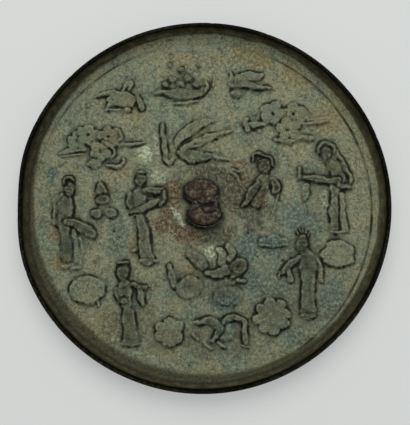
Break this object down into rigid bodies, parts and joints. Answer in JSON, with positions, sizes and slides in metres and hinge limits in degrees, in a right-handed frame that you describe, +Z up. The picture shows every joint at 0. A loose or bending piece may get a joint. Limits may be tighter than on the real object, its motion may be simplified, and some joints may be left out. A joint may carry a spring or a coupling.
{
  "type": "ancient bronze mirror",
  "caption": "Cast bronze mirror lying on its polished face, with a tall plain rim, a lobed cord knob, low relief of figures, cranes, flowers and treasures, and a dull green-grey patina.",
  "frame": {"origin": "under the middle of the bounding box, on the flat polished face that the mirror lies on", "axes": "+Z up through the decorated back, +Y towards the basket of fruit above the upper crane, +X towards the figure that holds out a hanging gourd"},
  "size_m": [0.1242, 0.1246, 0.0086],
  "materials": {
    "patinated_bronze": "cast bronze under a dull olive-grey and blue-green patina, with a dark smooth rim"
  },
  "bodies": {
    "root": {"bronze_mirror": "patinated_bronze"}
  },
  "joints": []
}
